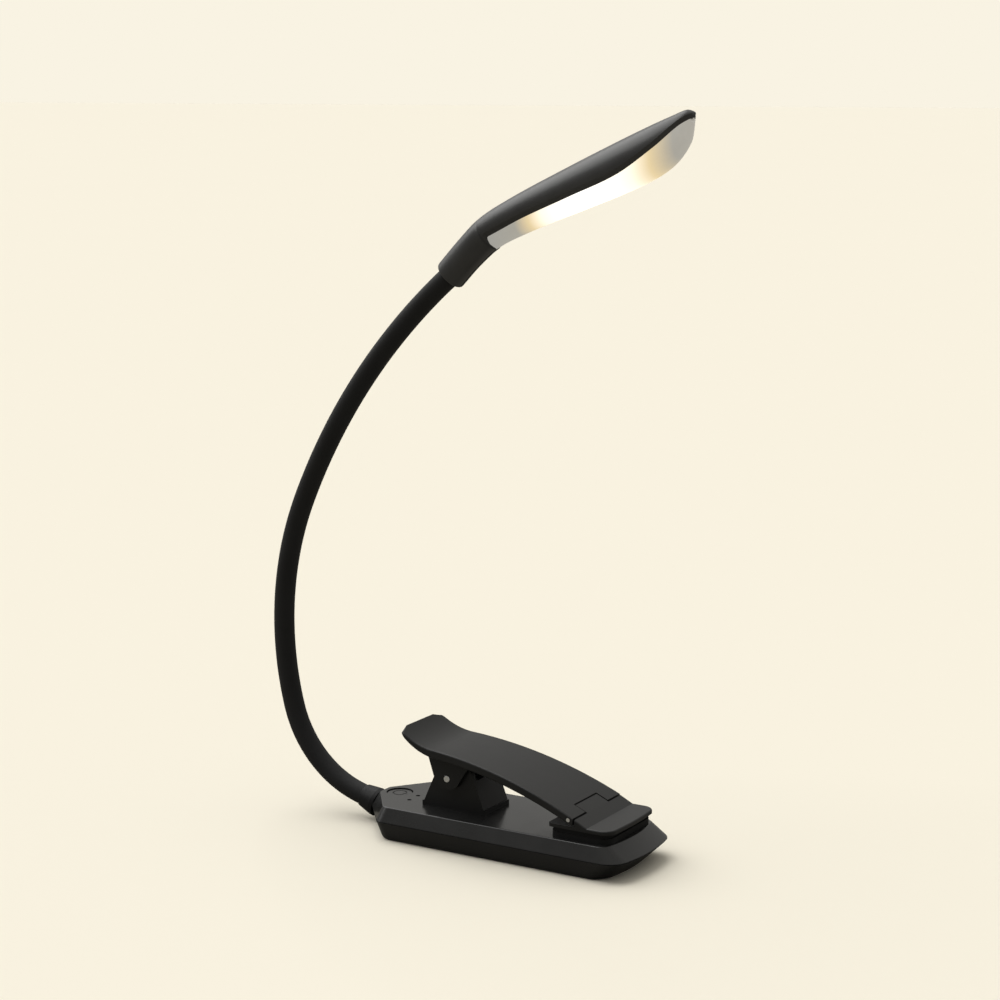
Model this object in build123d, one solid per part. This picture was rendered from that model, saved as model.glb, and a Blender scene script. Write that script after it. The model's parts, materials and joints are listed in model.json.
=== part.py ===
from build123d import *
from math import asin, atan2, cos, degrees, radians, sin
import os

# Clip-on reading lamp: a flat battery base with a spring clip on top, a flexible
# neck leaving the nose of the base, and a slim lamp head at the end of the neck.
# Millimetres. +X runs along the base towards the clip's mouth, +Z is up, and the
# plane y = 0 is the middle of the lamp. The origin is the centre of the base's
# flat underside.

# ---------------------------------------------------------------- base casing
BASE_HEIGHT = 10.2
PARTING_Z = 5.9          # height of the joint between the two casing shells
WALL = 1.5
FLOOR = 1.4              # thickness of the bottom and of the top skin
# (z, half width, nose x, nose half width, shoulder x, side end x, end x, corner radius)
OUTLINE_BOTTOM = (0.0, 16.6, -46.4, 3.0, -34.6, 40.4, 42.8, 7.0)
OUTLINE_PARTING = (PARTING_Z, 18.0, -48.0, 3.5, -36.4, 46.4, 49.0, 6.5)
OUTLINE_TOP = (BASE_HEIGHT, 15.6, -45.2, 2.6, -35.6, 41.4, 43.6, 3.6)
NOSE_RADIUS = 2.4
SHOULDER_RADIUS = 4.0
BOTTOM_ROUND = 1.6
TOP_ROUND = 0.35
PARTING_STEP = 0.16      # on both shells, so that a fine groove shows between them
FIT = 0.05               # clearance between a fixed piece and its seat

# ------------------------------------------------------------ fasteners inside
SCREW_SEAT_Z = 2.6       # under the heads of the screws that close the casing
CASE_SCREW_PLACES = [(-17.0, 12.5), (-17.0, -12.5), (34.5, 10.5), (34.5, -10.5)]
BOARD_SCREW_PLACES = [(-24.8, -9.0), (-24.8, 6.0)]
BRACKET_SCREW_PLACES = [(-20.5, 0.0), (-8.0, 0.0)]

# ----------------------------------------------------------------- electronics
BOARD_BOTTOM_Z = 6.2
BOARD_THICKNESS = 0.8
BOARD_TOP_Z = BOARD_BOTTOM_Z + BOARD_THICKNESS
SOCKET_X = -28.5         # centre of the charging socket, on the +Y side
SOCKET_WIDTH = 9.0
SOCKET_HEIGHT = 3.2
SOCKET_Y = (10.3, 17.6)
BATTERY_SIZE = (38.0, 22.0, 4.4)
BATTERY_CENTRE_X = 8.0
LEAD_RADIUS = 0.5
INDICATOR_PLACES = [(-32.4, -5.6), (-32.4, -0.6)]
INDICATOR_RADIUS = 0.65
INDICATOR_SUNK = 0.35

# ---------------------------------------------------------------- power button
BUTTON_CENTRE_X = -39.6
BUTTON_RADIUS = 4.05
BUTTON_GAP = 0.15
BUTTON_SUNK = 0.3        # how far the cap lies below the casing's top
BUTTON_SKIRT = 0.7       # how far its flange reaches under the casing
SYMBOL_RADIUS = 2.1      # the engraved power symbol
SYMBOL_LINE = 0.42
SYMBOL_DEPTH = 0.25

# ------------------------------------------------------------------------ clip
HINGE_X, HINGE_Z = -16.7, 20.1
HINGE_PIN_RADIUS = 1.1
RUNNING_FIT = 0.06       # radial, where a pin turns
PRESS_FIT = 0.02         # radial, where a pin is held
EAR_INNER_Y, EAR_OUTER_Y = 5.6, 7.1
WING_INNER_Y, WING_OUTER_Y = 7.4, 8.9
BRACKET_FLOOR = 1.4
LEVER_THICKNESS = 2.6
LEVER_SKIN = 1.4
LEVER_END_X = 30.55
LEVER_HALF_WIDTH_TAB = 11.7
LEVER_HALF_WIDTH_JAW = 14.8
TAB_END_X = -32.0
TAB_TIP_Z = 34.6
TAB_ROOT_X, TAB_ROOT_Z = -20.0, 29.65
TAB_CORNER_RADIUS = 2.2
EDGE_ROUND = 0.5         # along the lever's and the jaw's moulded edges
JAW_PIN_X, JAW_PIN_Z = 29.0, 16.3
JAW_PIN_RADIUS = 0.6
PRONG_BOTTOM_Z = 15.1
TONGUE_HALF_WIDTH = 6.5
TONGUE_GAP = 0.4
PAD_HEEL_X, PAD_TIP_X = 22.0, 42.2
JAW_TIP_X = 43.6
JAW_CORNER_RADIUS = 3.8
BASE_PAD_TOP_Z = 12.0
JAW_PAD_GAP = 0.1        # daylight left between the two pads at rest
JAW_PAD_THICKNESS = 1.3
JAW_PLATE_TOP_Z = 14.6
PAD_HALF_WIDTH = 14.0
PAD_CORNER_RADIUS = 3.6

# ------------------------------------------------------------------------ neck
NECK_START = (-55.5, 7.75)     # where the neck leaves the collar, x and z
NECK_START_HEADING = 163.4     # degrees above +X
NECK_ARCS = [(35.7, 58.4), (102.4, 38.6), (195.3, 26.9)]   # radius, turn in degrees
SLEEVE_RADIUS = 3.25
CORE_RADIUS = 1.7
WIRE_BORE_RADIUS = 0.8
LINK_COUNT = 8
FIRST_JOINT_AT = 6.0           # path length from the collar's mouth to the first joint
LINK_PITCH = 24.0
CUP_CLEARANCE = 0.25           # between the ball end of a link and the next link's cup
# The strain-relief collar, between two places on the neck's path; negative ones are
# before the neck leaves the straight line out of the base
COLLAR_ROOT_AT, COLLAR_MOUTH_AT = -8.4, -2.6
COLLAR_RADIUS = 4.5
COLLAR_MOUTH_RADIUS = 3.6
ANCHOR_RADIUS = 2.1
ROOT_SLEEVE_START = -9.5
ROOT_CORE_START = -14.0

# ------------------------------------------------------------------------ head
# Cross-sections of the head: (centre x, centre z, tilt in degrees, half height, half width)
HEAD_SECTIONS = [
    (-20.2, 172.6, 43.0, 4.85, 4.85),
    (-13.6, 179.4, 43.0, 4.95, 5.0),
    (-6.3, 185.7, 34.0, 5.3, 5.5),
    (4.9, 191.5, 26.0, 5.8, 6.5),
    (22.3, 199.0, 24.5, 6.6, 7.8),
    (39.3, 206.2, 24.5, 7.2, 8.4),
    (49.8, 211.4, 24.5, 6.7, 7.7),
    (56.2, 216.2, 24.5, 4.7, 5.4),
    (58.5, 219.6, 24.5, 2.3, 3.4),
    (59.7, 220.5, 24.5, 0.8, 1.4),
]
HEAD_WALL = 1.2
# The lower edge of the shell, seen from the side, as x and z
RIM_POINTS = [
    (-4.3, 185.0), (7.5, 190.6), (23.1, 197.0), (39.3, 203.9),
    (50.3, 211.4), (57.0, 217.6), (63.0, 221.6),
]
LIP = 1.0                      # how far the diffuser's surface lies inside the shell's
DIFFUSER_WALL = 1.2
DIFFUSER_ROOT = (-3.4, 178.0)
SOCKET_DEPTH = 6.0             # how far the sleeve goes into the head
FERRULE_RADIUS = 2.6
FERRULE_LENGTH = 2.2
WIRE_HOLE_RADIUS = 1.4
LED_BOARD_SIZE = (44.0, 7.6, 1.0)
LED_COUNT = 7                  # per row
LED_SIZE = (2.8, 1.6, 0.7)
LED_ROW_OFFSET = 2.0

UPRIGHT = (Align.CENTER, Align.CENTER, Align.MIN)


def block(x, y, z):
    """A box from three (low, high) pairs."""
    size = (x[1] - x[0], y[1] - y[0], z[1] - z[0])
    middle = (sum(x) / 2, sum(y) / 2, sum(z) / 2)
    return Pos(*middle) * Box(*size)


def rod(start, end, radius):
    """A round rod between two points."""
    a, b = Vector(*start), Vector(*end)
    place = Plane(origin=a, z_dir=b - a)
    return place * Cylinder(radius, (b - a).length, align=UPRIGHT)


def pin_y(x, z, half_length, radius):
    """A round pin across the lamp, centred on y = 0."""
    return rod((x, -half_length, z), (x, half_length, z), radius)


def post(x, y, low, high, radius):
    """An upright round post."""
    return rod((x, y, low), (x, y, high), radius)


def side_plate(outline, low, high):
    """A closed outline drawn in x and z, given thickness from y = low to y = high."""
    face = Plane.XZ * make_face(outline)
    return Pos(0, low, 0) * extrude(face, amount=high - low, dir=(0, 1, 0))


# ================================================================ base casing
def outline_at(z, inset=0.0):
    """The casing's outline at height z, drawn in by inset."""
    low, high = (OUTLINE_BOTTOM, OUTLINE_PARTING)
    if z > PARTING_Z:
        low, high = (OUTLINE_PARTING, OUTLINE_TOP)
    share = (z - low[0]) / (high[0] - low[0])
    mixed = [a + share * (b - a) for a, b in zip(low, high)]
    half, nose_x, nose_half, shoulder_x, side_end_x, end_x, corner = mixed[1:]
    half -= inset
    nose_x += inset
    nose_half -= 0.4 * inset
    shoulder_x += 0.35 * inset
    side_end_x -= inset
    end_x -= inset
    sides = Polyline(
        (side_end_x, -half), (shoulder_x, -half), (nose_x, -nose_half),
        (nose_x, nose_half), (shoulder_x, half), (side_end_x, half),
    )
    end = ThreePointArc((side_end_x, half), (end_x, 0), (side_end_x, -half))
    face = make_face(sides.edges() + end.edges())
    for corner_x, radius in (
        (side_end_x, corner - inset),
        (shoulder_x, SHOULDER_RADIUS),
        (nose_x, NOSE_RADIUS - 0.5 * inset),
    ):
        corners = [v for v in face.vertices() if abs(v.X - corner_x) < 0.01]
        face = fillet(corners, radius)
    return Pos(0, 0, z) * face


def casing_block(low, high, inset=0.0):
    """The casing's shape between two heights that don't span the parting line."""
    return loft([outline_at(low, inset), outline_at(high, inset)], ruled=True)


def neck_way(radius, start=-16.0, end=2.0):
    """A straight rod on the line by which the neck leaves the nose."""
    return neck_plane(start) * Cylinder(radius, end - start, align=UPRIGHT)


def socket_opening():
    """The cut through the casing's far side around the charging socket."""
    half = SOCKET_WIDTH / 2 + 0.15
    low = BOARD_BOTTOM_Z - SOCKET_HEIGHT - 0.1
    return block((SOCKET_X - half, SOCKET_X + half), (SOCKET_Y[0], 20), (low, BOARD_BOTTOM_Z + 0.1))


def edges_at(shape, z):
    """The edges of a shape that lie at height z."""
    return [edge for edge in shape.edges() if abs(edge.center().Z - z) < 0.01]


def parting_step(low, high):
    """The shallow step that each shell has beside the parting line."""
    return casing_block(low, high, -1) - casing_block(low, high, PARTING_STEP)


def base_bottom_shell():
    shell = casing_block(0, PARTING_Z)
    shell = fillet(edges_at(shell, 0), BOTTOM_ROUND)
    shell -= parting_step(PARTING_Z - PARTING_STEP, PARTING_Z)
    shell -= casing_block(FLOOR, PARTING_Z, WALL)
    for x, y in CASE_SCREW_PLACES:
        shell += post(x, y, 0.5, SCREW_SEAT_Z + 1.4, 2.6)
        shell -= post(x, y, -1, SCREW_SEAT_Z, 1.8)
        shell -= post(x, y, 0, 5, 0.9)
    shell -= neck_way(COLLAR_RADIUS + FIT, COLLAR_ROOT_AT - FIT)
    shell -= neck_way(SLEEVE_RADIUS + FIT, ROOT_SLEEVE_START - FIT)
    shell -= neck_way(ANCHOR_RADIUS + 2 * FIT, ROOT_CORE_START - FIT)
    shell -= socket_opening()
    return shell


def base_top_shell():
    shell = casing_block(PARTING_Z, BASE_HEIGHT)
    shell = fillet(edges_at(shell, BASE_HEIGHT), TOP_ROUND)
    shell -= parting_step(PARTING_Z, PARTING_Z + PARTING_STEP)
    cavity_top = BASE_HEIGHT - FLOOR
    shell -= casing_block(PARTING_Z, cavity_top, WALL)
    for x, y in CASE_SCREW_PLACES:
        shell += post(x, y, SCREW_SEAT_Z + 1.5, cavity_top, 2.0)
        shell -= post(x, y, SCREW_SEAT_Z + 1.4, 8.3, 0.8 + FIT)
    for x, y in BOARD_SCREW_PLACES:
        shell += post(x, y, BOARD_TOP_Z, cavity_top, 1.6)
        shell -= post(x, y, BOARD_TOP_Z, 8.4, 0.6 + FIT)
    for x, y in BRACKET_SCREW_PLACES:
        shell -= post(x, y, 8, 11, 0.8 + FIT)
    for x, y in INDICATOR_PLACES:
        shell -= post(x, y, 8, 11, INDICATOR_RADIUS + FIT)
    shell -= post(BUTTON_CENTRE_X, 0, 8, 11, BUTTON_RADIUS + BUTTON_GAP)
    shell -= neck_way(COLLAR_RADIUS + FIT, COLLAR_ROOT_AT - FIT)
    shell -= neck_way(SLEEVE_RADIUS + FIT, ROOT_SLEEVE_START - FIT)
    shell -= socket_opening()
    return shell


def screw(x, y, low, head_top, top, head_radius, shaft_radius):
    """A screw put in from below, its head between low and head_top, with a cross slot."""
    body = post(x, y, low, head_top, head_radius) + post(x, y, head_top, top, shaft_radius)
    for angle in (0, 90):
        slot = Pos(x, y, low) * Rot(0, 0, angle) * Box(1.5 * head_radius, 0.4, 0.7)
        body -= slot
    return body


def case_screws():
    low = SCREW_SEAT_Z - 1.4
    return Compound([screw(x, y, low, SCREW_SEAT_Z, 8.2, 1.6, 0.8) for x, y in CASE_SCREW_PLACES])


def board_screws():
    low = BOARD_BOTTOM_Z - 0.8
    return Compound([screw(x, y, low, BOARD_BOTTOM_Z, 8.2, 1.3, 0.6) for x, y in BOARD_SCREW_PLACES])


def bracket_screws():
    low = BASE_HEIGHT - FLOOR - 1.1
    return Compound([screw(x, y, low, low + 1.1, 11.2, 1.6, 0.8) for x, y in BRACKET_SCREW_PLACES])


# =============================================================== power button
def power_button():
    """The push cap, with a generic power symbol sunk in it."""
    low = BOARD_TOP_Z + 1.05
    top = BASE_HEIGHT - BUTTON_SUNK
    cap = post(BUTTON_CENTRE_X, 0, low, top, BUTTON_RADIUS)
    cap = fillet(edges_at(cap, top), 0.25)
    cap += post(BUTTON_CENTRE_X, 0, low, BASE_HEIGHT - FLOOR - 0.1, BUTTON_RADIUS + BUTTON_SKIRT)
    sunk = (top - SYMBOL_DEPTH, top + 1)
    ring = post(BUTTON_CENTRE_X, 0, *sunk, SYMBOL_RADIUS + SYMBOL_LINE / 2)
    ring -= post(BUTTON_CENTRE_X, 0, *sunk, SYMBOL_RADIUS - SYMBOL_LINE / 2)
    ring -= block((BUTTON_CENTRE_X, BUTTON_CENTRE_X + 3), (-0.75, 0.75), sunk)
    bar_x = (BUTTON_CENTRE_X + 1.1, BUTTON_CENTRE_X + 2.8)
    bar = block(bar_x, (-SYMBOL_LINE / 2, SYMBOL_LINE / 2), sunk)
    return cap - ring - bar


# ================================================================ electronics
def board_outline():
    return make_face(Polyline(
        (-41.9, -3.0), (-36.8, -11.0), (-22.2, -11.0), (-22.2, 13.4),
        (-35.6, 13.4), (-41.9, 3.0), close=True,
    ))


def main_circuit_board():
    board = extrude(Pos(0, 0, BOARD_BOTTOM_Z) * board_outline(), amount=BOARD_THICKNESS)
    for x, y in BOARD_SCREW_PLACES:
        board -= post(x, y, 5, 8, 0.6 + FIT)
    return board


def usb_socket():
    """The charging socket: a rounded metal shell with a tongue inside."""
    low, high = BOARD_BOTTOM_Z - SOCKET_HEIGHT, BOARD_BOTTOM_Z
    back, front = SOCKET_Y
    left, right = SOCKET_X - SOCKET_WIDTH / 2, SOCKET_X + SOCKET_WIDTH / 2
    sheet = 0.4
    shell = block((left, right), SOCKET_Y, (low, high))
    shell = fillet(shell.edges().filter_by(Axis.Y), 1.2)
    mouth = block((left + sheet, right - sheet), (back + 1, front + 1), (low + sheet, high - sheet))
    mouth = fillet(mouth.edges().filter_by(Axis.Y), 1.2 - sheet + 0.05)
    middle = (low + high) / 2
    tongue = block((left + 1.2, right - 1.2), (back + 0.5, front - 0.9), (middle - 0.35, middle + 0.35))
    return shell - mouth + tongue


def tact_switch():
    body = block((BUTTON_CENTRE_X - 2, BUTTON_CENTRE_X + 2), (-2, 2), (BOARD_TOP_Z, BOARD_TOP_Z + 0.4))
    return body + post(BUTTON_CENTRE_X, 0, BOARD_TOP_Z + 0.4, BOARD_TOP_Z + 0.62, 1.3)


def controller_chip():
    return block((-31.5, -27.0), (-1.5, 3.0), (BOARD_BOTTOM_Z - 1.0, BOARD_BOTTOM_Z))


def indicator_leds():
    middle_z = BOARD_TOP_Z + 0.35
    return Compound([Pos(x, y, middle_z) * Box(1.6, 1.0, 0.7) for x, y in INDICATOR_PLACES])


def indicator_lenses():
    low = BOARD_TOP_Z + 0.9
    lenses = []
    for x, y in INDICATOR_PLACES:
        lens = post(x, y, low, BASE_HEIGHT - INDICATOR_SUNK, INDICATOR_RADIUS)
        lenses.append(lens + post(x, y, low, BASE_HEIGHT - FLOOR - 0.05, 1.1))
    return Compound(lenses)


def battery():
    length, width, height = BATTERY_SIZE
    low = FLOOR + 0.2
    cell = Pos(BATTERY_CENTRE_X, 0, low + height / 2) * Box(length, width, height)
    cell = fillet(cell.edges().filter_by(Axis.X), 1.2)
    return fillet(cell.edges().filter_by(Axis.Y), 0.4)


def battery_leads():
    leads = []
    start_x = BATTERY_CENTRE_X - BATTERY_SIZE[0] / 2
    for y in (-1.6, 1.6):
        route = FilletPolyline((start_x, y, 4.0), (-23.8, y, 4.0), (-23.8, y, BOARD_BOTTOM_Z), radius=1.2)
        section = Plane(origin=route @ 0, z_dir=route % 0) * Circle(LEAD_RADIUS)
        leads.append(sweep(section, route))
    return Compound(leads)


# ======================================================================= clip
def lever_top(x):
    """Height of the lever's upper face over the arched part, at x."""
    slope_start, radius = 0.0958, 148.0
    rise = cos(asin(slope_start)) - cos(asin(slope_start + (x + 16.0) / radius))
    return 29.3 - radius * rise


def lever_profile(thickness):
    """The lever's side outline: a turned-up tab, then an arch down to the jaw."""
    tab = [(TAB_END_X, TAB_TIP_Z), (-25.6, 30.9), (TAB_ROOT_X, TAB_ROOT_Z)]
    arch = [(5.0, lever_top(5.0)), (LEVER_END_X, lever_top(LEVER_END_X))]
    under = [(TAB_END_X + 0.9, TAB_TIP_Z + 0.5), (-24.9, 31.0), *tab[2:], *arch]
    under = [(x, z - thickness) for x, z in under]
    lines = ThreePointArc(*tab).edges() + ThreePointArc(tab[2], *arch).edges()
    lines += ThreePointArc(*under[:3]).edges() + ThreePointArc(*under[2:]).edges()
    lines += Line(tab[0], under[0]).edges() + Line(arch[1], under[-1]).edges()
    return lines


def lever_plan():
    """The lever seen from above: a taper with rounded tab corners."""
    tab, jaw = LEVER_HALF_WIDTH_TAB, LEVER_HALF_WIDTH_JAW
    corners = [(TAB_END_X, -tab), (LEVER_END_X, -jaw), (LEVER_END_X, jaw), (TAB_END_X, tab)]
    face = make_face(Polyline(*corners, close=True))
    return fillet([v for v in face.vertices() if v.X < 0], TAB_CORNER_RADIUS)


def lever_plate():
    """The lever's arched plate, with the edges along its two sides rounded."""
    plate = side_plate(lever_profile(LEVER_THICKNESS), -20, 20) & extrude(lever_plan(), amount=60)
    return fillet([edge for edge in plate.edges() if edge.length > 50], EDGE_ROUND)


def wing():
    """One side wing of the lever, from the plate down around the hinge pin."""
    outline = Polyline(
        (-24.0, 28.6), (-22.6, 24.6), (-21.5, 21.2), (-20.4, 18.6),
        (-18.4, 17.0), (-15.4, 16.8), (-13.2, 18.0), (-9.9, 23.2), (-7.0, 27.0), close=True,
    )
    return side_plate(outline.edges(), WING_INNER_Y, WING_OUTER_Y)


def lever_pocket():
    """The hollow under the arch that leaves the plate a thin skin with side walls."""
    deep = side_plate(lever_profile(LEVER_THICKNESS + 3), -20, 20)
    pocket = block((-14, 22.5), (-20, 20), (0, 60)) & deep
    pocket -= side_plate(lever_profile(LEVER_SKIN), -20, 20)
    return pocket & scale(extrude(lever_plan(), amount=60), (1, 0.87, 1))


def clip_lever():
    lever = lever_plate() - lever_pocket()
    lever += [wing(), mirror(wing(), Plane.XZ)]
    notch_start = JAW_PIN_X - 2.0 - TONGUE_GAP
    half = TONGUE_HALF_WIDTH + TONGUE_GAP
    lever -= block((notch_start, 40), (-half, half), (0, 40))
    lever -= block((24, 40), (-20, 20), (0, PRONG_BOTTOM_Z))
    lever -= pin_y(HINGE_X, HINGE_Z, 12, HINGE_PIN_RADIUS + RUNNING_FIT)
    lever -= pin_y(JAW_PIN_X, JAW_PIN_Z, 20, JAW_PIN_RADIUS + PRESS_FIT)
    return lever


def hinge_bracket():
    """The two ears that carry the hinge pin, joined by a floor and a sloping front wall."""
    top = HINGE_Z + 3.5
    ear = Polyline((-26.6, BASE_HEIGHT), (-4.0, BASE_HEIGHT), (-9.2, top), (-20.6, top), close=True)
    bracket = side_plate(ear.edges(), EAR_INNER_Y, EAR_OUTER_Y)
    bracket = fillet([e for e in bracket.edges().filter_by(Axis.Y) if e.center().Z > 20], 2.2)
    bracket += mirror(bracket, Plane.XZ)
    floor_z = (BASE_HEIGHT, BASE_HEIGHT + BRACKET_FLOOR)
    bracket += block((-26.6, -4.0), (-EAR_OUTER_Y, EAR_OUTER_Y), floor_z)
    wall = Polyline((-4.0, BASE_HEIGHT), (-7.9, 20.2), (-9.3, 20.2), (-5.6, BASE_HEIGHT), close=True)
    bracket += side_plate(wall.edges(), -EAR_INNER_Y, EAR_INNER_Y)
    bracket -= pin_y(HINGE_X, HINGE_Z, 12, HINGE_PIN_RADIUS + PRESS_FIT)
    for x, y in BRACKET_SCREW_PLACES:
        bracket -= post(x, y, 10, 11.3, 0.8 + FIT)
    return bracket


def hinge_pin():
    pin = pin_y(HINGE_X, HINGE_Z, WING_OUTER_Y, HINGE_PIN_RADIUS)
    return chamfer(pin.edges().filter_by(GeomType.CIRCLE), 0.15)


def torsion_spring():
    """The closing spring, its turns drawn as one sleeve, with a leg at each end."""
    coil = pin_y(HINGE_X, HINGE_Z, 4.4, 3.3) - pin_y(HINGE_X, HINGE_Z, 5, 2.3)
    low = (-25.0, 3.9, BASE_HEIGHT + BRACKET_FLOOR + 0.55)
    high = (-24.5, -3.9, 27.5)
    coil += rod((HINGE_X - 1.2, 3.9, HINGE_Z - 2.5), low, 0.45)
    coil += rod((HINGE_X - 1.2, -3.9, HINGE_Z + 2.5), high, 0.45)
    return coil


def jaw_plan():
    """The jaw seen from above: square at the heel, a bowed front with round corners."""
    half = LEVER_HALF_WIDTH_JAW - 0.2
    corner_x = JAW_TIP_X - 0.9
    sides = Polyline((corner_x, -half), (PAD_HEEL_X, -half), (PAD_HEEL_X, half), (corner_x, half))
    front = ThreePointArc((corner_x, half), (JAW_TIP_X, 0), (corner_x, -half))
    plan = make_face(sides.edges() + front.edges())
    plan = fillet([v for v in plan.vertices() if v.X > 30], JAW_CORNER_RADIUS)
    return fillet([v for v in plan.vertices() if v.X < PAD_HEEL_X + 0.1], 1.5)


def jaw_body(bottom, step_x):
    """The jaw's plate, with its step up to the lever and its upper edges rounded."""
    heel_top = bottom + 1.0
    side = Polyline(
        (PAD_HEEL_X, bottom), (JAW_TIP_X, bottom), (JAW_TIP_X, JAW_PLATE_TOP_Z),
        (step_x + 4.1, JAW_PLATE_TOP_Z), (step_x, lever_top(step_x) - 0.1), (step_x, heel_top),
        (PAD_HEEL_X, heel_top), close=True,
    )
    body = side_plate(side.edges(), -LEVER_HALF_WIDTH_JAW, LEVER_HALF_WIDTH_JAW)
    body &= extrude(jaw_plan(), amount=40)
    edges = []
    for edge in body.edges():
        middle = edge.center()
        rim = abs(middle.Y) > LEVER_HALF_WIDTH_JAW - 3 or middle.X > JAW_TIP_X - 2
        if rim and middle.X > step_x + 0.2 and middle.Z > bottom + 0.7 and edge.length > 2:
            edges.append(edge)
    return fillet(edges, EDGE_ROUND)


def jaw_shoe():
    """The pad carrier that pivots on the lever's front end."""
    bottom = BASE_PAD_TOP_Z + JAW_PAD_GAP + JAW_PAD_THICKNESS
    step_x = LEVER_END_X + 0.5
    tongue_x = JAW_PIN_X - 2.0
    tongue = Polyline(
        (tongue_x, lever_top(tongue_x) - 0.1), (step_x, lever_top(step_x) - 0.1),
        (step_x + 1, bottom + 0.5), (tongue_x + 0.5, bottom + 0.5),
        (tongue_x, JAW_PIN_Z - 1.0), close=True,
    )
    jaw = jaw_body(bottom, step_x)
    jaw += side_plate(tongue.edges(), -TONGUE_HALF_WIDTH, TONGUE_HALF_WIDTH)
    return jaw - pin_y(JAW_PIN_X, JAW_PIN_Z, 20, JAW_PIN_RADIUS + RUNNING_FIT)


def jaw_pin():
    return pin_y(JAW_PIN_X, JAW_PIN_Z, LEVER_HALF_WIDTH_JAW - 0.1, JAW_PIN_RADIUS)


def ribbed_pad(x, half_width, low, high, rib_side):
    """A rubber pad with shallow cross grooves in its gripping face."""
    pad = block(x, (-half_width, half_width), (low, high))
    pad = fillet(pad.edges().filter_by(Axis.Z), PAD_CORNER_RADIUS)
    groove_z = high if rib_side > 0 else low
    count = int((x[1] - x[0] - 4) / 2)
    for index in range(count):
        groove_x = x[0] + 3 + 2 * index
        pad -= Pos(groove_x, 0, groove_z) * Box(0.6, 2 * half_width - 4, 0.6)
    return pad


def base_grip_pad():
    return ribbed_pad((PAD_HEEL_X, PAD_TIP_X), PAD_HALF_WIDTH, BASE_HEIGHT, BASE_PAD_TOP_Z, 1)


def jaw_pad():
    along = (PAD_HEEL_X + 0.3, PAD_TIP_X - 0.4)
    low = BASE_PAD_TOP_Z + JAW_PAD_GAP
    return ribbed_pad(along, PAD_HALF_WIDTH, low, low + JAW_PAD_THICKNESS, -1)


# ======================================================================= neck
def neck_place(s):
    """Point (x, z) and heading in degrees at path length s from the collar's mouth."""
    x, z = NECK_START
    heading = radians(NECK_START_HEADING)
    if s < 0:
        return x + s * cos(heading), z + s * sin(heading), degrees(heading)
    left = s
    for number, (radius, turn) in enumerate(NECK_ARCS):
        angle = radians(turn)
        last = number == len(NECK_ARCS) - 1
        if left < radius * angle or last:
            angle = left / radius
        x += radius * (sin(heading) - sin(heading - angle))
        z += radius * (cos(heading - angle) - cos(heading))
        heading -= angle
        left -= radius * angle
        if left <= 1e-9:
            break
    return x, z, degrees(heading)


def neck_point(s):
    x, z = neck_place(s)[:2]
    return (x, 0, z)


def neck_plane(s):
    """A plane square to the neck at path length s."""
    x, z, heading = neck_place(s)
    along = (cos(radians(heading)), 0, sin(radians(heading)))
    return Plane(origin=(x, 0, z), x_dir=(0, 1, 0), z_dir=along)


def neck_breaks(start, end):
    """start, end and every change of arc between them, as path lengths."""
    stops = [start, end]
    total = 0.0
    if start < 0 < end:
        stops.append(0.0)
    for radius, turn in NECK_ARCS:
        total += radius * radians(turn)
        if start < total < end:
            stops.append(total)
    return sorted(stops)


def neck_tube(start, end, radius, bore=None):
    """A round tube along the neck's path, or a round rod if it has no bore."""
    stops = neck_breaks(start, end)
    tube = None
    for a, b in zip(stops, stops[1:]):
        if b <= 0:
            route = Line(neck_point(a), neck_point(b))
        else:
            route = ThreePointArc(neck_point(a), neck_point((a + b) / 2), neck_point(b))
        section = neck_plane(a) * Circle(radius)
        if bore:
            section -= neck_plane(a) * Circle(bore)
        piece = sweep(section, route)
        tube = piece if tube is None else tube + piece
    return tube


def ball(s, radius):
    """A ball on the neck's path, its poles on the path."""
    return neck_plane(s) * Sphere(radius)


def joint_at(number):
    """Path length of joint number, counted from 1."""
    return FIRST_JOINT_AT + LINK_PITCH * (number - 1)


NECK_LENGTH = sum(radius * radians(turn) for radius, turn in NECK_ARCS)


def ball_end(s, radius, bore):
    """The rounded end of a link beyond its joint: a half ball with the bore through it."""
    plane = neck_plane(s)
    dome = ball(s, SLEEVE_RADIUS) & (plane * Cylinder(radius, 8, align=UPRIGHT))
    return dome - plane * Pos(0, 0, -1) * Cylinder(bore, 8, align=UPRIGHT)


def neck_segment(number, radius, bore, start, end):
    """Link number of the neck, from its cup to its ball end; link 0 is fixed in the base."""
    tube = neck_tube(start, end, radius, bore)
    if number > 0:
        tube -= ball(joint_at(number), SLEEVE_RADIUS + CUP_CLEARANCE)
    if number < LINK_COUNT:
        tube += ball_end(end, radius, bore)
    return tube


def link_span(number, root_start, last_end):
    """Where link number begins and ends on the neck's path."""
    start = root_start if number == 0 else joint_at(number)
    end = last_end if number == LINK_COUNT else joint_at(number + 1)
    return start, end


def neck_sleeve(number):
    start, end = link_span(number, ROOT_SLEEVE_START, NECK_LENGTH + SOCKET_DEPTH)
    return neck_segment(number, SLEEVE_RADIUS, CORE_RADIUS + PRESS_FIT, start, end)


def neck_core(number):
    start, end = link_span(number, ROOT_CORE_START, NECK_LENGTH + SOCKET_DEPTH + FERRULE_LENGTH)
    return neck_segment(number, CORE_RADIUS, WIRE_BORE_RADIUS, start, end)


def neck_collar():
    """The strain-relief collar, gripped by the two casing shells at the nose."""
    taper_at = COLLAR_ROOT_AT + 1.2
    body = rod(neck_point(COLLAR_ROOT_AT), neck_point(taper_at), COLLAR_RADIUS)
    cone = Cone(COLLAR_RADIUS, COLLAR_MOUTH_RADIUS, COLLAR_MOUTH_AT - taper_at, align=UPRIGHT)
    cone = fillet(cone.edges().sort_by(Axis.Z)[-1], 0.25)
    body += neck_plane(taper_at) * cone
    return body - neck_way(SLEEVE_RADIUS + PRESS_FIT)


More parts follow.
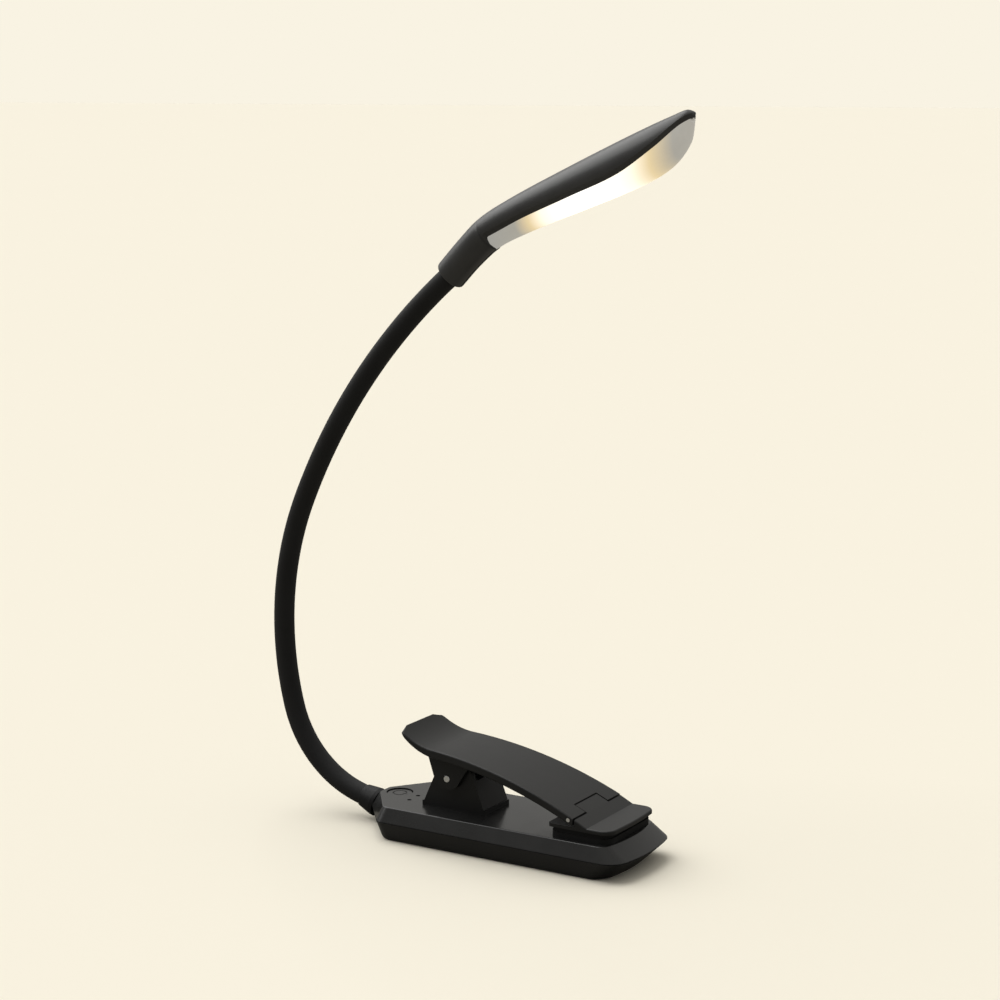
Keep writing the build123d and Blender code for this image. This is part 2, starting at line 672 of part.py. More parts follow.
def neck_anchor():
    """The ferrule crimped on the core inside the base."""
    body = rod(neck_point(ROOT_CORE_START + 0.3), neck_point(ROOT_SLEEVE_START - 0.2), ANCHOR_RADIUS)
    return body - neck_way(CORE_RADIUS + PRESS_FIT)


# ======================================================================= head
def head_section(x, z, tilt, half_height, half_width):
    direction = (cos(radians(tilt)), 0, sin(radians(tilt)))
    plane = Plane(origin=(x, 0, z), x_dir=(0, 1, 0), z_dir=direction)
    return plane * Ellipse(half_width, half_height)


def head_form(inset, first=0):
    """The head's outer form, or the form drawn in by inset, from section first on."""
    faces = []
    for x, z, tilt, half_height, half_width in HEAD_SECTIONS[first:]:
        if half_height - inset > 0.3:
            faces.append(head_section(x, z, tilt, half_height - inset, half_width - inset))
    return loft(faces)


def diffuser_region():
    """Everything below the rim, from the neck end of the diffuser to the tip."""
    rim = Spline(*RIM_POINTS)
    far = [(75, RIM_POINTS[-1][1]), (75, 160), (DIFFUSER_ROOT[0], 160), DIFFUSER_ROOT, RIM_POINTS[0]]
    outline = rim.edges() + Polyline(RIM_POINTS[-1], *far).edges()
    return side_plate(outline, -15, 15)


def head_shell():
    """The upper casing of the head, with its tubular socket for the neck."""
    shell = head_form(0) - diffuser_region()
    shell -= head_form(HEAD_WALL, 2)
    sleeve_end = NECK_LENGTH + SOCKET_DEPTH
    ferrule_end = sleeve_end + FERRULE_LENGTH + 0.5
    shell -= neck_tube(NECK_LENGTH - 3, sleeve_end + FIT, SLEEVE_RADIUS + FIT)
    shell -= neck_tube(sleeve_end, ferrule_end, FERRULE_RADIUS + FIT)
    cavity_x, cavity_z = HEAD_SECTIONS[2][:2]
    shell -= rod(neck_point(ferrule_end - 1), (cavity_x + 1, 0, cavity_z + 0.5), WIRE_HOLE_RADIUS)
    return shell


def diffuser():
    lens = head_form(LIP, 1) & diffuser_region()
    return lens - head_form(LIP + DIFFUSER_WALL, 2)


def head_plane(offset):
    """A place on the head's straight part, its x along the head, offset along its normal."""
    x0, z0 = HEAD_SECTIONS[3][:2]
    x1, z1 = HEAD_SECTIONS[5][:2]
    angle = degrees(atan2(z1 - z0, x1 - x0))
    middle = ((x0 + x1) / 2, 0, (z0 + z1) / 2)
    return Pos(*middle) * Rot(0, -angle, 0) * Pos(0, 0, offset)


def led_board():
    return head_plane(0.2) * Box(*LED_BOARD_SIZE)


def leds():
    chips = []
    pitch = LED_BOARD_SIZE[0] / LED_COUNT
    level = 0.2 - LED_BOARD_SIZE[2] / 2 - LED_SIZE[2] / 2
    for row in (-LED_ROW_OFFSET, LED_ROW_OFFSET):
        for index in range(LED_COUNT):
            along = (index - (LED_COUNT - 1) / 2) * pitch
            chips.append(head_plane(level) * Pos(along, row, 0) * Box(*LED_SIZE))
    return Compound(chips)


def head_ferrule():
    """The ferrule crimped on the core inside the head."""
    start = NECK_LENGTH + SOCKET_DEPTH + FIT
    return neck_tube(start, start + FERRULE_LENGTH, FERRULE_RADIUS, CORE_RADIUS + PRESS_FIT)


def build_parts():
    parts = {
        "base_top_shell": base_top_shell(),
        "base_bottom_shell": base_bottom_shell(),
        "case_screws": case_screws(),
        "board_screws": board_screws(),
        "bracket_screws": bracket_screws(),
        "power_button": power_button(),
        "main_circuit_board": main_circuit_board(),
        "usb_socket": usb_socket(),
        "tact_switch": tact_switch(),
        "controller_chip": controller_chip(),
        "indicator_leds": indicator_leds(),
        "indicator_lenses": indicator_lenses(),
        "battery": battery(),
        "battery_leads": battery_leads(),
        "hinge_bracket": hinge_bracket(),
        "hinge_pin": hinge_pin(),
        "torsion_spring": torsion_spring(),
        "clip_lever": clip_lever(),
        "jaw_shoe": jaw_shoe(),
        "jaw_pin": jaw_pin(),
        "jaw_pad": jaw_pad(),
        "base_grip_pad": base_grip_pad(),
        "neck_collar": neck_collar(),
        "neck_anchor": neck_anchor(),
        "head_shell": head_shell(),
        "diffuser": diffuser(),
        "led_board": led_board(),
        "leds": leds(),
        "head_ferrule": head_ferrule(),
    }
    for number in range(LINK_COUNT + 1):
        parts[f"neck_sleeve_{number}"] = neck_sleeve(number)
        parts[f"neck_core_{number}"] = neck_core(number)
    return parts


if __name__ == "__main__":
    os.makedirs("parts", exist_ok=True)
    for name, shape in build_parts().items():
        export_step(shape, f"parts/{name}.step")
        print(name, round(shape.volume, 1))
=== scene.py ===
import bmesh
import bpy
import json
from math import acos, cos, pi, radians, sin, sqrt
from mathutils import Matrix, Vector


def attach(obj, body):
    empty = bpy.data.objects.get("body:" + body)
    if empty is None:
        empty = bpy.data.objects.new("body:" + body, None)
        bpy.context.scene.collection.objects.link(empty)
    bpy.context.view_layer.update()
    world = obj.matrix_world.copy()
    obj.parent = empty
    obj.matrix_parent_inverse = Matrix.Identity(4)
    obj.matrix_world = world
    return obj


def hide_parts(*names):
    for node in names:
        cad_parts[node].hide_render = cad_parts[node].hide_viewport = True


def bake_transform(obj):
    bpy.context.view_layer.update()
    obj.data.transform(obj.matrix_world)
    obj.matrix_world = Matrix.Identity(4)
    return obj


# Looks of a clip-on reading lamp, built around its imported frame. Metres; the frame's
# origin is the centre of the base's underside, +X runs towards the clip's mouth and
# y = 0 is the lamp's middle plane.

MM = 0.001

# ------------------------------------------------------------------ camera and light
CAMERA_TARGET = Vector((-3.0, 0.0, 106.41)) * MM
CAMERA_DISTANCE = 700 * MM
CAMERA_AZIMUTH = 30.98
CAMERA_ELEVATION = 10.1
CAMERA_LENS = 84.45
CREAM = (0.947, 0.896, 0.768)
KEY_STRENGTH = 2.12
KEY_FROM = Vector((-0.6, 0.05, 0.8))
KEY_WIDTH = radians(70)
STUDIO_BRIGHT_SIDE = (-0.2, 0.33, 0.92)    # mostly up, and behind the lamp
STUDIO_DIM, STUDIO_BRIGHT = 0.16, 0.55
FLOOR_BOUNCE = 0.25
FLOOR_HALF_SIZE = 20

# ------------------------------------------------------------------------- the neck
NECK_START = (-55.5 * MM, 7.75 * MM)
NECK_HEADING = radians(163.4)
# The arcs of the neck's centre line, as radius and turn
NECK_ARCS = [
    (35.7 * MM, radians(58.4)),
    (102.4 * MM, radians(38.6)),
    (195.3 * MM, radians(26.9)),
]
SLEEVE_RADIUS = 3.25 * MM
SLEEVE_BORE = 1.75 * MM
FIRST_JOINT_AT = 6 * MM
LINK_PITCH = 24 * MM
JOINT_COUNT = 8
SLEEVE_ROOT_AT = -9.5 * MM
SLEEVE_END_BEYOND = 6 * MM
RING_POINTS = 40
RING_SPACING = 0.6 * MM
BEND_REACH = 0.45 * LINK_PITCH    # points this far to each side of a joint are worked out, and not used

# -------------------------------------------------------------- the head, in millimetres
# (centre x, centre z, tilt in degrees, half height, half width), from the neck to the tip
HEAD_SECTIONS = [
    (-20.2, 172.6, 43.0, 4.85, 4.85),
    (-13.6, 179.4, 43.0, 4.95, 5.0),
    (-6.3, 185.7, 34.0, 5.3, 5.5),
    (4.9, 191.5, 26.0, 5.8, 6.5),
    (22.3, 199.0, 24.5, 6.6, 7.8),
    (39.3, 206.2, 24.5, 7.2, 8.4),
    (49.8, 211.4, 24.5, 6.7, 7.7),
    (56.2, 216.2, 24.5, 4.7, 5.4),
    (58.5, 219.6, 24.5, 2.3, 3.4),
    (59.6, 220.5, 24.5, 0.9, 1.5),
    (59.9, 220.7, 24.5, 0.2, 0.3),
]
# The diffuser's edge seen from the side, as x and z
RIM = [
    (-12.0, 181.6), (-4.3, 185.0), (7.5, 190.6), (23.1, 197.0), (39.3, 203.9),
    (50.3, 211.4), (57.0, 217.6), (63.0, 221.6),
]
HEAD_SPACING = 0.55
HEAD_POINTS = 48
HEAD_WALL = 1.5
MOUTH_ROUND = 0.45
LIP_RISE = 1.25          # from the diffuser's edge up to the shell's outer edge
LENS_INSET = (0.15, 1.0) # how far the diffuser lies inside the shell's height and width
LENS_WALL = 1.1
LENS_ROOT_AT = 18.6      # distances along the head's centre line
LENS_END_AT = 93.3
LENS_TUCK = 0.8          # how far the diffuser reaches under the shell at its root
LENS_OVERLAP = 0.3       # and along both sides of the opening
LIP_LEAD = 0.25          # how much nearer the root the lip starts than the opening
OPENING_ROUND = 1.6      # length of the rounded end of the opening

# Where the diffuser glows, as x, and the glow's colours from one end to the other
LIT_FROM, LIT_TO = -5 * MM, 60 * MM
GLOW = [
    (0.0, (0.27, 0.265, 0.245)),
    (0.15, (0.3, 0.285, 0.245)),
    (0.22, (0.72, 0.56, 0.3)),
    (0.29, (1.1, 1.0, 0.8)),
    (0.5, (1.5, 1.45, 1.35)),
    (0.74, (1.1, 1.0, 0.8)),
    (0.83, (0.72, 0.56, 0.3)),
    (0.93, (0.3, 0.285, 0.25)),
]

# ----------------------------------------------------------------- the closing spring
HINGE = Vector((-16.7, 0.0, 20.1)) * MM
SPRING_COIL_RADIUS = 2.8 * MM
SPRING_WIRE_RADIUS = 0.45 * MM
SPRING_HALF_LENGTH = 3.9 * MM
SPRING_TURNS = 7
SPRING_STEPS_PER_TURN = 24
SPRING_LOW_FOOT = Vector((-25.0, 3.9, 12.2)) * MM
SPRING_HIGH_FOOT = Vector((-24.5, -3.9, 26.6)) * MM

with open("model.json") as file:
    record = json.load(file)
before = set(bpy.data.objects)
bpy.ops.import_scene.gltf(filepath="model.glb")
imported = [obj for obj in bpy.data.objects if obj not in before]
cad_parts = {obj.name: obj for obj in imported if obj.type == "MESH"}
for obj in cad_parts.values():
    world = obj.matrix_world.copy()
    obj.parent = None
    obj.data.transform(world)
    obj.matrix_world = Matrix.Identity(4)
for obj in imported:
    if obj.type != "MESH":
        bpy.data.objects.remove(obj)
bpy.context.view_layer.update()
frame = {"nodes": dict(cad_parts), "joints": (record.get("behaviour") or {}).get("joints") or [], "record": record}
nodes = frame["nodes"]


# ============================================================================ helpers
def link_object(name, mesh):
    obj = bpy.data.objects.new(name, mesh)
    bpy.context.scene.collection.objects.link(obj)
    return obj


def mesh_object(name, build):
    """A new object whose mesh build(bm) makes."""
    mesh = bpy.data.meshes.new(name)
    bm = bmesh.new()
    build(bm)
    bmesh.ops.recalc_face_normals(bm, faces=bm.faces)
    bm.to_mesh(mesh)
    bm.free()
    return link_object(name, mesh)


def dress(obj, material):
    """Gives an object one material and smooth faces."""
    obj.data.materials.clear()
    obj.data.materials.append(material)
    for face in obj.data.polygons:
        face.use_smooth = True


# ========================================================================== materials
# Blender's Mix node has several sockets of each name; these are the colour ones' numbers
MIX_COLOUR_A, MIX_COLOUR_B, MIX_COLOUR_OUT = 6, 7, 2


class Finish:
    """A material whose nodes are built step by step."""

    def __init__(self, name, **sockets):
        self.material = bpy.data.materials.new(name)
        self.material.use_nodes = True
        self.tree = self.material.node_tree
        self.shader = self.tree.nodes["Principled BSDF"]
        self.place = self.node("ShaderNodeTexCoord").outputs["Object"]
        for key, value in sockets.items():
            self.shader.inputs[key.replace("_", " ")].default_value = value

    def node(self, kind, **inputs):
        made = self.tree.nodes.new(kind)
        for key, value in inputs.items():
            self.feed(made.inputs[key], value)
        return made

    def feed(self, socket, value):
        if isinstance(value, bpy.types.NodeSocket):
            self.tree.links.new(value, socket)
        else:
            socket.default_value = value

    def noise(self, size, detail=2.0, stretch=(1, 1, 1)):
        """Noise with features of about this size in metres."""
        mapping = self.node("ShaderNodeMapping", Vector=self.place, Scale=stretch)
        place = mapping.outputs["Vector"]
        made = self.node("ShaderNodeTexNoise", Vector=place, Scale=1 / size, Detail=detail)
        return made.outputs["Fac"]

    def ramp(self, value, *stops):
        """Colours against value; each stop is (position, colour)."""
        made = self.node("ShaderNodeValToRGB", Fac=value)
        elements = made.color_ramp.elements
        while len(elements) < len(stops):
            elements.new(0.5)
        for element, (position, colour) in zip(elements, stops):
            element.position = position
            element.color = (*colour, 1)
        return made.outputs["Color"]

    def spread(self, value, low, high, at=(0.3, 0.7)):
        """value's middle stretch mapped to the range from low to high."""
        made = self.node("ShaderNodeMapRange", Value=value)
        for key, number in zip(("From Min", "From Max", "To Min", "To Max"), (*at, low, high)):
            made.inputs[key].default_value = number
        return made.outputs["Result"]

    def colour(self, value):
        self.feed(self.shader.inputs["Base Color"], value)

    def roughness(self, value):
        self.feed(self.shader.inputs["Roughness"], value)

    def bump(self, height, depth, strength=0.6):
        made = self.node("ShaderNodeBump", Height=height, Distance=depth, Strength=strength)
        self.feed(self.shader.inputs["Normal"], made.outputs["Normal"])


def grey(level, tint=(1, 1, 1)):
    return tuple(level * channel for channel in tint)


def moulded_plastic(name, level, roughness, grain, depth, tint=(1.0, 1.0, 0.97), specular=0.5):
    """Black moulded plastic: a fine spark-eroded grain, and faint patches of handling."""
    finish = Finish(name, Specular_IOR_Level=specular)
    patches = finish.noise(14 * MM, 4)
    darker, lighter = grey(level * 0.85, tint), grey(level * 1.15, tint)
    finish.colour(finish.ramp(patches, (0.35, darker), (0.65, lighter)))
    finish.roughness(finish.spread(patches, roughness - 0.04, roughness + 0.05))
    finish.bump(finish.noise(grain, 3), depth)
    return finish.material


def rubber(name, level, roughness=0.7):
    finish = Finish(name, Specular_IOR_Level=0.3)
    patches = finish.noise(9 * MM, 4)
    finish.colour(finish.ramp(patches, (0.35, grey(level * 0.85)), (0.7, grey(level * 1.2))))
    finish.roughness(finish.spread(patches, roughness - 0.05, roughness + 0.06))
    finish.bump(finish.noise(0.16 * MM, 3), 0.02 * MM)
    return finish.material


def drawn_metal(name, level, roughness, stretch=(1, 0.12, 1)):
    """Metal with fine lines left by drawing or turning."""
    finish = Finish(name, Metallic=1.0)
    lines = finish.noise(0.25 * MM, 3, stretch)
    finish.colour(finish.ramp(lines, (0.3, grey(level * 0.85)), (0.7, grey(level))))
    finish.roughness(finish.spread(lines, roughness - 0.06, roughness + 0.08))
    finish.bump(lines, 0.01 * MM)
    return finish.material


def milky_diffuser():
    """Milky plastic lit from behind by the two rows of LEDs, brightest over their middle."""
    finish = Finish("milky_plastic")
    clouds = finish.noise(3 * MM, 3)
    finish.colour(finish.ramp(clouds, (0.3, (0.4, 0.4, 0.39)), (0.7, (0.45, 0.45, 0.44))))
    finish.roughness(finish.spread(clouds, 0.32, 0.4))
    finish.bump(finish.noise(0.4 * MM, 3), 0.008 * MM)
    split = finish.node("ShaderNodeSeparateXYZ", Vector=finish.place)
    along = finish.spread(split.outputs["X"], 0, 1, (LIT_FROM, LIT_TO))
    glow = finish.ramp(along, *GLOW)
    finish.feed(finish.shader.inputs["Emission Color"], glow)
    finish.shader.inputs["Emission Strength"].default_value = 1.0
    return finish.material


# =============================================================================== neck
def neck_place(s):
    """Point on the neck's centre line and its direction, at path length s."""
    x, z = NECK_START
    heading = NECK_HEADING
    left = s
    for number, (radius, turn) in enumerate(NECK_ARCS):
        if s < 0:
            x += s * cos(heading)
            z += s * sin(heading)
            break
        last = number == len(NECK_ARCS) - 1
        angle = left / radius if last or left < radius * turn else turn
        x += radius * (sin(heading) - sin(heading - angle))
        z += radius * (cos(heading - angle) - cos(heading))
        heading -= angle
        left -= radius * angle
        if left < 1e-9:
            break
    return Vector((x, 0, z)), Vector((cos(heading), 0, sin(heading)))


def ring(bm, s, radius):
    """A ring of vertices round the neck's centre line."""
    centre, along = neck_place(s)
    side = Vector((0, 1, 0))
    up = along.cross(side)
    points = []
    for index in range(RING_POINTS):
        angle = 2 * pi * index / RING_POINTS
        points.append(bm.verts.new(centre + radius * (cos(angle) * side + sin(angle) * up)))
    return points


def bridge(bm, a, b):
    """Quads between two rings; returns the faces."""
    following = [(i, (i + 1) % len(a)) for i in range(len(a))]
    return [bm.faces.new((a[i], a[j], b[j], b[i])) for i, j in following]


def sleeve_mesh(start, end):
    """A thick-walled tube along the neck from start to end."""
    def build(bm):
        steps = max(2, round((end - start) / RING_SPACING))
        stops = [start + (end - start) * step / steps for step in range(steps + 1)]
        outer = [ring(bm, s, SLEEVE_RADIUS) for s in stops]
        inner = [ring(bm, s, SLEEVE_BORE) for s in stops]
        for rings in (outer, inner):
            for a, b in zip(rings, rings[1:]):
                bridge(bm, a, b)
        for row in (0, -1):
            for face in bridge(bm, outer[row], inner[row]):
                for edge in face.edges:
                    edge.smooth = False
    return build


def build_neck_sleeves(material):
    """One soft sleeve over each joint, from mid-link to mid-link."""
    bends = [joint for joint in frame["joints"] if joint["name"].startswith("neck_")]
    length = sum(radius * turn for radius, turn in NECK_ARCS)
    for number, joint in enumerate(bends):
        at = FIRST_JOINT_AT + number * LINK_PITCH
        start = at - LINK_PITCH / 2 if number else SLEEVE_ROOT_AT
        end = at + LINK_PITCH / 2 if number < JOINT_COUNT - 1 else length + SLEEVE_END_BEYOND
        sleeve = mesh_object(f"neck_skin_{number + 1}", sleeve_mesh(start, end))
        dress(sleeve, material)
        low = neck_place(max(at - BEND_REACH, SLEEVE_ROOT_AT))[0]
        high = neck_place(at + BEND_REACH)[0]
        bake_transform(sleeve)
        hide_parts(f"neck_sleeve_{number}")
        if number == JOINT_COUNT - 1:
            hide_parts(f"neck_sleeve_{JOINT_COUNT}")


# ============================================================================= spring
def spring_route():
    """Centre line of the torsion spring: lower leg, turns round the pin, upper leg."""
    points = []
    first_angle = radians(235)
    last_angle = radians(125) + 2 * pi * SPRING_TURNS
    steps = SPRING_STEPS_PER_TURN * SPRING_TURNS
    for step in range(steps + 1):
        share = step / steps
        angle = first_angle + (last_angle - first_angle) * share
        y = SPRING_HALF_LENGTH * (1 - 2 * share)
        x = HINGE.x + SPRING_COIL_RADIUS * cos(angle)
        z = HINGE.z + SPRING_COIL_RADIUS * sin(angle)
        points.append(Vector((x, y, z)))
    return [SPRING_LOW_FOOT] + points + [SPRING_HIGH_FOOT]


def build_spring(material):
    curve = bpy.data.curves.new("spring_wire", "CURVE")
    curve.dimensions = "3D"
    curve.bevel_depth = SPRING_WIRE_RADIUS
    curve.bevel_resolution = 4
    curve.use_fill_caps = True
    route = spring_route()
    line = curve.splines.new("POLY")
    line.points.add(len(route) - 1)
    for point, place in zip(line.points, route):
        point.co = (*place, 1)
    wire = bpy.data.objects.new("spring_wire", curve)
    bpy.context.scene.collection.objects.link(wire)
    bpy.context.view_layer.update()
    graph = bpy.context.evaluated_depsgraph_get()
    mesh = bpy.data.meshes.new_from_object(wire.evaluated_get(graph))
    bpy.data.objects.remove(wire)
    spring = link_object("closing_spring", mesh)
    dress(spring, material)
    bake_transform(spring)
    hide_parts("torsion_spring")


# =============================================================================== head
def smooth_row(rows, at):
    """A row interpolated smoothly between rows of numbers, by their first number."""
    k = 0
    while k < len(rows) - 2 and at > rows[k + 1][0]:
        k += 1
    a, b = rows[k], rows[k + 1]
    before, after = rows[max(k - 1, 0)], rows[min(k + 2, len(rows) - 1)]
    span = b[0] - a[0]
    t = (at - a[0]) / span
    values = []
    for j in range(1, len(a)):
        slope_a = (b[j] - before[j]) / (b[0] - before[0])
        slope_b = (after[j] - a[j]) / (after[0] - a[0])
        even = a[j] * (1 + 2 * t) * (1 - t) ** 2 + b[j] * t * t * (3 - 2 * t)
        values.append(even + span * t * (1 - t) * (slope_a * (1 - t) - slope_b * t))
    return values


def head_rows():
    """HEAD_SECTIONS with the distance along the head's centre line put first."""
    rows = []
    total = 0.0
    for section in HEAD_SECTIONS:
        if rows:
            total += (Vector(section[:2]) - Vector(rows[-1][1:3])).length
        rows.append((total, *section))
    return rows


class HeadPlace:
    """The head's cross-section at one distance along its centre line, in millimetres."""

    def __init__(self, rows, s):
        x, z, tilt, self.height, self.width = smooth_row(rows, s)
        self.s = s
        self.centre = Vector((x, 0, z))
        self.along = Vector((cos(radians(tilt)), 0, sin(radians(tilt))))
        self.up = Vector((-sin(radians(tilt)), 0, cos(radians(tilt))))

    def point(self, angle, inset):
        """The surface point at this angle from the underside, drawn in by (height, width)."""
        height = max(self.height - inset[0], 0.4 * self.height)
        width = max(self.width - inset[1], 0.4 * self.width)
        side = Vector((0, sin(angle) * width, 0))
        return (self.centre + side - self.up * cos(angle) * height) * MM

    def opening(self, rise, inset, start):
        """Half the angle that the opening spans here, for an edge this far above the rim."""
        if self.s < start:
            return 0.0
        low, high = RIM[0][0], RIM[-1][0]
        for _ in range(24):
            middle = (low + high) / 2
            (z,) = smooth_row(RIM, middle)
            offset = Vector((middle, 0, z)) - self.centre
            if offset.dot(self.along) < 0:
                low = middle
            else:
                high = middle
        level = -(offset.dot(self.up) + rise) / max(self.height - inset, 0.1)
        share = min((self.s - start) / OPENING_ROUND, 1.0)
        return acos(min(max(level, -1.0), 1.0)) * sqrt(1 - (1 - share) ** 2)


def head_stops(start, end):
    """Distances along the head, closer together near both ends."""
    count = round((end - start) / HEAD_SPACING)
    stops = [start + (end - start) * index / count for index in range(count + 1)]
    near_ends = [0.1, 0.25, 0.45]
    return sorted(stops + [start + step for step in near_ends] + [end - step for step in near_ends])


def head_shell_mesh(bm):
    """The shell: its outside, the slanting lip round the opening, and its inside."""
    rows = head_rows()
    rings = []
    for s in head_stops(0, rows[-1][0]):
        place = HeadPlace(rows, s)
        mouth = MOUTH_ROUND * (1 - sqrt(1 - max(0.0, 1 - s / MOUTH_ROUND) ** 2))
        edge = place.opening(LIP_RISE, 0, LENS_ROOT_AT - LIP_LEAD)
        lens = min(place.opening(0, LENS_INSET[0], LENS_ROOT_AT), edge)
        outside = [edge + 2 * (pi - edge) * i / HEAD_POINTS for i in range(HEAD_POINTS + 1)]
        inside = [lens + 2 * (pi - lens) * i / HEAD_POINTS for i in range(HEAD_POINTS + 1)]
        ring = [place.point(angle, (mouth, mouth)) for angle in outside]
        ring += [place.point(2 * pi - lens, LENS_INSET)]
        ring += [place.point(angle, (HEAD_WALL, HEAD_WALL)) for angle in reversed(inside)]
        ring += [place.point(lens, LENS_INSET)]
        rings.append([bm.verts.new(point) for point in ring])
    for a, b in zip(rings, rings[1:]):
        faces = bridge(bm, a, b)
        # The two slanting lip faces in each row get the second material, whose dark olive colour is painted shade
        # with a painted tint of glow spill
        for number in (HEAD_POINTS, -1):
            faces[number].material_index = 1
    for ring in (rings[0], rings[-1]):
        close_end(bm, ring[:HEAD_POINTS + 1], ring[HEAD_POINTS + 2:-1])
    bmesh.ops.remove_doubles(bm, verts=bm.verts, dist=1e-6)
    sharpen(bm, radians(32))


def close_end(bm, outer, inner):
    """Quads between the outside of a wall and its inside, which runs the other way."""
    inner = inner[::-1]
    for i in range(HEAD_POINTS):
        bm.faces.new((outer[i], outer[i + 1], inner[i + 1], inner[i]))


def sharpen(bm, limit):
    """Marks the edges whose faces meet at more than limit as hard."""
    for edge in bm.edges:
        if len(edge.link_faces) == 2 and edge.calc_face_angle(0) > limit:
            edge.smooth = False


def diffuser_mesh(bm):
    """The milky cover: a thick-walled strip that fills the opening from end to end."""
    rows = head_rows()
    rings = []
    for s in head_stops(LENS_ROOT_AT - LENS_TUCK, LENS_END_AT):
        place = HeadPlace(rows, s)
        half = place.opening(0, LENS_INSET[0], LENS_ROOT_AT) + LENS_OVERLAP / place.height
        angles = [half * (2 * i / HEAD_POINTS - 1) for i in range(HEAD_POINTS + 1)]
        ring = [place.point(angle, LENS_INSET) for angle in angles]
        deep = [inset + LENS_WALL for inset in LENS_INSET]
        ring += [place.point(angle, deep) for angle in reversed(angles)]
        rings.append([bm.verts.new(point) for point in ring])
    for a, b in zip(rings, rings[1:]):
        bridge(bm, a, b)
    for ring in (rings[0], rings[-1]):
        close_end(bm, ring[:HEAD_POINTS + 1], ring[HEAD_POINTS + 1:])
    sharpen(bm, radians(40))


def build_head():
    shell = mesh_object("lamp_head_shell", head_shell_mesh)
    dress(shell, FINISHES["head_casing"])
    # second slot: the lip's dark olive plastic, painted shade and painted glow spill
    shell.data.materials.append(FINISHES["lip_painted_shade"])
    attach(shell, "head")
    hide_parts("head_shell")
    cover = mesh_object("lit_diffuser", diffuser_mesh)
    dress(cover, FINISHES["diffuser"])
    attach(cover, "head")
    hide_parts("diffuser")


# ============================================================================== stage
def build_camera():
    azimuth, elevation = radians(CAMERA_AZIMUTH), radians(CAMERA_ELEVATION)
    back = Vector((sin(azimuth) * cos(elevation), -cos(azimuth) * cos(elevation), sin(elevation)))
    camera = bpy.data.objects.new("camera", bpy.data.cameras.new("camera"))
    camera.data.sensor_width = 36
    camera.data.lens = CAMERA_LENS
    camera.data.clip_start = 0.01
    camera.data.clip_end = 100
    camera.location = CAMERA_TARGET + CAMERA_DISTANCE * back
    camera.rotation_mode = "QUATERNION"
    camera.rotation_quaternion = (-back).to_track_quat("-Z", "Y")
    bpy.context.scene.collection.objects.link(camera)
    bpy.context.scene.camera = camera


def build_light():
    """A wide, high key light in a studio that is bright behind the lamp and dim in front."""
    key = bpy.data.objects.new("key_light", bpy.data.lights.new("key_light", "SUN"))
    key.data.energy = KEY_STRENGTH
    key.data.angle = KEY_WIDTH
    key.rotation_euler = (-KEY_FROM).to_track_quat("-Z", "Y").to_euler()
    bpy.context.scene.collection.objects.link(key)
    world = bpy.data.worlds.new("studio")
    world.use_nodes = True
    tree = world.node_tree
    seen = tree.nodes["Background"]
    seen.inputs["Color"].default_value = (*CREAM, 1)
    place = tree.nodes.new("ShaderNodeTexCoord")
    toward = tree.nodes.new("ShaderNodeVectorMath")
    toward.operation = "DOT_PRODUCT"
    toward.inputs[1].default_value = STUDIO_BRIGHT_SIDE
    fall = tree.nodes.new("ShaderNodeValToRGB")
    fall.color_ramp.elements[0].position = 0.0
    fall.color_ramp.elements[0].color = (*grey(STUDIO_DIM), 1)
    fall.color_ramp.elements[1].position = 0.7
    fall.color_ramp.elements[1].color = (*grey(STUDIO_BRIGHT, (1.0, 0.98, 0.93)), 1)
    lit = tree.nodes.new("ShaderNodeBackground")
    rays = tree.nodes.new("ShaderNodeLightPath")
    mix = tree.nodes.new("ShaderNodeMixShader")
    tree.links.new(place.outputs["Generated"], toward.inputs[0])
    tree.links.new(toward.outputs["Value"], fall.inputs["Fac"])
    tree.links.new(fall.outputs["Color"], lit.inputs["Color"])
    tree.links.new(rays.outputs["Is Camera Ray"], mix.inputs["Fac"])
    tree.links.new(lit.outputs[0], mix.inputs[1])
    tree.links.new(seen.outputs[0], mix.inputs[2])
    tree.links.new(mix.outputs[0], tree.nodes["World Output"].inputs["Surface"])
    bpy.context.scene.world = world


def build_floor():
    """Pale paper, which throws back less light on the lamp than it shows."""
    def build(bm):
        bmesh.ops.create_grid(bm, x_segments=8, y_segments=8, size=FLOOR_HALF_SIZE)

    floor = mesh_object("floor", build)
    finish = Finish("floor_paper", Specular_IOR_Level=0.0)
    paper = finish.ramp(finish.noise(0.4, 2), (0.3, grey(0.998, CREAM)), (0.7, CREAM))
    rays = finish.node("ShaderNodeLightPath")
    mix = finish.node("ShaderNodeMix")
    mix.data_type = "RGBA"
    finish.feed(mix.inputs["Factor"], rays.outputs["Is Camera Ray"])
    finish.feed(mix.inputs[MIX_COLOUR_A], (*grey(FLOOR_BOUNCE, CREAM), 1))
    finish.feed(mix.inputs[MIX_COLOUR_B], paper)
    finish.colour(mix.outputs[MIX_COLOUR_OUT])
    finish.roughness(finish.spread(finish.noise(0.2, 2), 0.85, 0.95))
    dress(floor, finish.material)


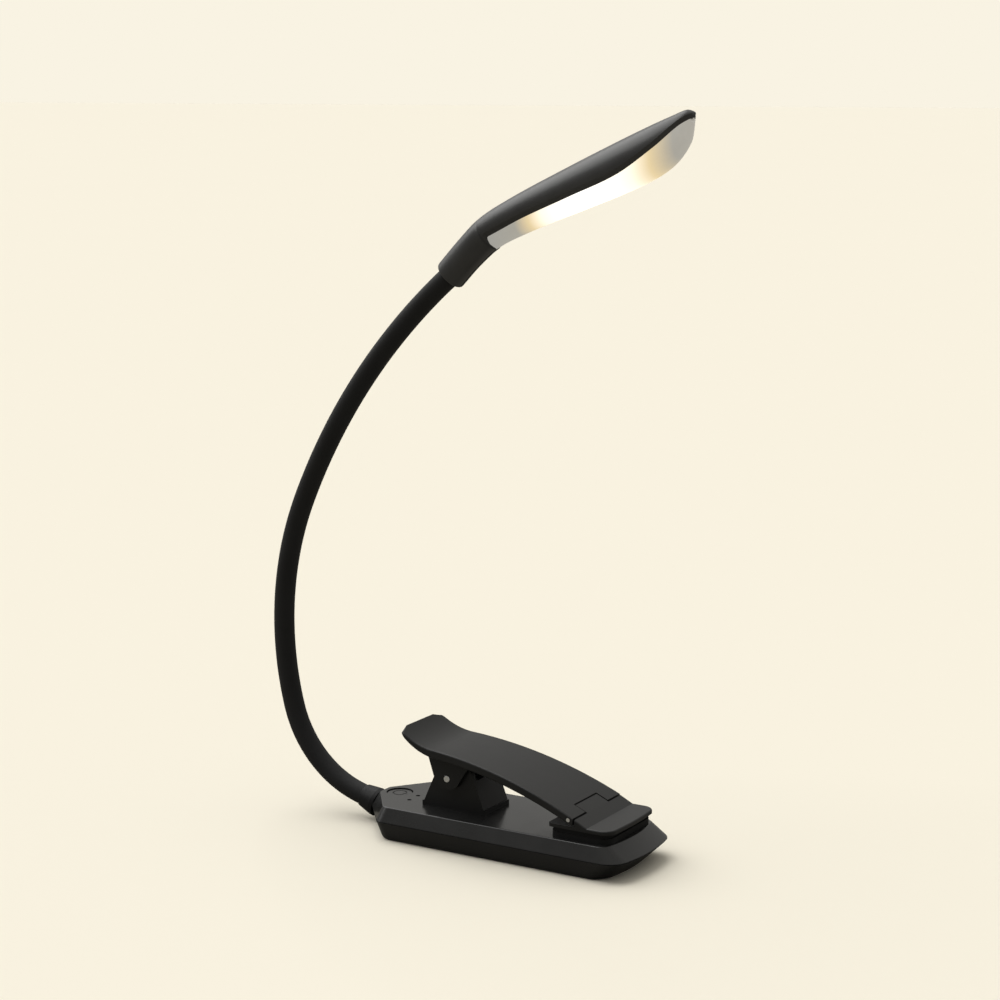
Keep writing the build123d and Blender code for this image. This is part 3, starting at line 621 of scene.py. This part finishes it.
# =============================================================================== main
FINISHES = {
    "base_casing": moulded_plastic("base_plastic", 0.015, 0.2, 0.4 * MM, 0.006 * MM),
    "clip_plastic": moulded_plastic(
        "clip_satin_plastic", 0.014, 0.42, 0.25 * MM, 0.01 * MM, specular=0.35),
    "collar": moulded_plastic("collar_plastic", 0.008, 0.5, 0.25 * MM, 0.01 * MM, specular=0.25),
    "head_casing": moulded_plastic("head_plastic", 0.055, 0.36, 0.3 * MM, 0.01 * MM),
    "neck_sleeve": rubber("neck_rubber", 0.017, 0.62),
    "grip_rubber": rubber("grip_rubber", 0.006),
    "neck_core": drawn_metal("core_wire", 0.5, 0.35),
    "pin_steel": drawn_metal("pin_steel", 0.95, 0.3),
    "spring_steel": drawn_metal("spring_wire", 0.55, 0.3),
    "steel": drawn_metal("plated_steel", 0.6, 0.3),
    "diffuser": milky_diffuser(),
    "circuit_board": moulded_plastic("solder_mask", 0.06, 0.4, 0.5 * MM, 0.01 * MM, (0.3, 1.2, 0.5)),
    "led_board": moulded_plastic("white_mask", 0.7, 0.4, 0.5 * MM, 0.01 * MM),
    "led": moulded_plastic("led_phosphor", 0.7, 0.3, 0.3 * MM, 0.01 * MM, (1.0, 0.8, 0.3)),
    "chip": moulded_plastic("chip_epoxy", 0.02, 0.5, 0.2 * MM, 0.01 * MM),
    "indicator_window": moulded_plastic("smoked_window", 0.03, 0.15, 0.4 * MM, 0.004 * MM),
    "battery_pouch": drawn_metal("foil_pouch", 0.75, 0.3),
    "lead_insulation": rubber("lead_insulation", 0.3, 0.5),
    # The lip's dark olive-tinted plastic is painted shade where the lip faces down, with a painted tint of glow
    # spill from the diffuser.
    "lip_painted_shade": moulded_plastic(
        "lip_painted_shade", 0.006, 0.5, 0.3 * MM, 0.01 * MM, (1.1, 1.0, 0.4), 0.15),
}

for subpart in frame["record"]["subparts"]:
    materials = nodes[subpart["node"]].data.materials
    materials.clear()
    materials.append(FINISHES[subpart["material_slot"]])

build_camera()
build_light()
build_floor()
build_neck_sleeves(FINISHES["neck_sleeve"])
build_spring(FINISHES["spring_steel"])
build_head()
bpy.context.scene.view_settings.view_transform = "Standard"
